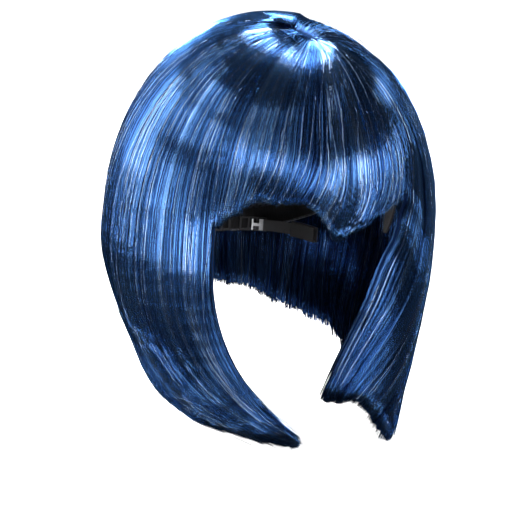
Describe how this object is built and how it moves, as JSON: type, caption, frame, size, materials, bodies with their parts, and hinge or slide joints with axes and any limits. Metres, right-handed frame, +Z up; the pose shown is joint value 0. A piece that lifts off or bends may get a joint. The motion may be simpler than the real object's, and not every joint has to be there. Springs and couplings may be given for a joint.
{
  "type": "costume wig",
  "caption": "Chin-length bob costume wig with a pointed fringe, on a stretch cap with nape adjusters.",
  "frame": {"origin": "centre of the head opening, level with the brow line of the head that wears it", "axes": "+Z up along the head, -Y the way the wearer faces, +X the wearer's left"},
  "size_m": [0.228, 0.24, 0.287],
  "materials": {
    "hair_fibre": "glossy synthetic fibre, royal blue",
    "weft": "sewn fibre track",
    "cap_net": "open stretch net",
    "skin_top": "fine scalp-coloured cloth",
    "elastic": "ribbed woven elastic",
    "lace_ribbon": "woven lace ribbon",
    "thread": "sewing thread",
    "hook_steel": "flat pressed steel",
    "label": "blank woven label"
  },
  "bodies": {
    "cap": {"cap_mesh": "cap_net", "front_band": "elastic", "nape_band": "elastic", "crown_patch": "skin_top", "crown_patch_seam": "thread", "ear_tab_right": "elastic", "ear_tab_left": "elastic", "lace_ribbon_1": "lace_ribbon", "lace_ribbon_2": "lace_ribbon", "lace_ribbon_3": "lace_ribbon", "lace_ribbon_4": "lace_ribbon", "lace_ribbon_5": "lace_ribbon", "fringe_weft": "weft", "weft_track_1": "weft", "weft_track_2": "weft", "weft_track_3": "weft", "weft_track_4": "weft", "weft_track_5": "weft", "weft_track_6": "weft", "weft_track_7": "weft", "hook_loops_right": "thread", "hook_loops_left": "thread", "strap_sleeve_right": "elastic", "strap_sleeve_left": "elastic", "care_label": "label", "crown_hair": "hair_fibre"},
    "fringe": {"fringe_hair": "hair_fibre"},
    "right_side": {"right_side_hair": "hair_fibre"},
    "left_side": {"left_side_hair": "hair_fibre"},
    "back": {"back_hair": "hair_fibre"},
    "right_adjuster": {"adjuster_strap_right": "elastic", "adjuster_hook_right": "hook_steel"},
    "left_adjuster": {"adjuster_strap_left": "elastic", "adjuster_hook_left": "hook_steel"}
  },
  "joints": [
    {"name": "fringe_lift", "type": "hinge", "parent": "cap", "child": "fringe", "pos_m": [0, -0.059, 0.0865], "axis": [-1, 0, 0], "range_deg": [0, 60]},
    {"name": "right_side_swing", "type": "hinge", "parent": "cap", "child": "right_side", "pos_m": [-0.054, 0.01, 0.0905], "axis": [0, 1, 0], "range_deg": [0, 30]},
    {"name": "left_side_swing", "type": "hinge", "parent": "cap", "child": "left_side", "pos_m": [0.054, 0.01, 0.0905], "axis": [0, -1, 0], "range_deg": [0, 30]},
    {"name": "back_swing", "type": "hinge", "parent": "cap", "child": "back", "pos_m": [0, 0.056, 0.0965], "axis": [1, 0, 0], "range_deg": [0, 25]},
    {"name": "right_adjuster_slide", "type": "hinge", "parent": "cap", "child": "right_adjuster", "pos_m": [0, 0.029, -0.056], "axis": [0, 0, 1], "range_deg": [-7, 14]},
    {"name": "left_adjuster_slide", "type": "hinge", "parent": "cap", "child": "left_adjuster", "pos_m": [0, 0.029, -0.056], "axis": [0, 0, -1], "range_deg": [-7, 14]}
  ]
}
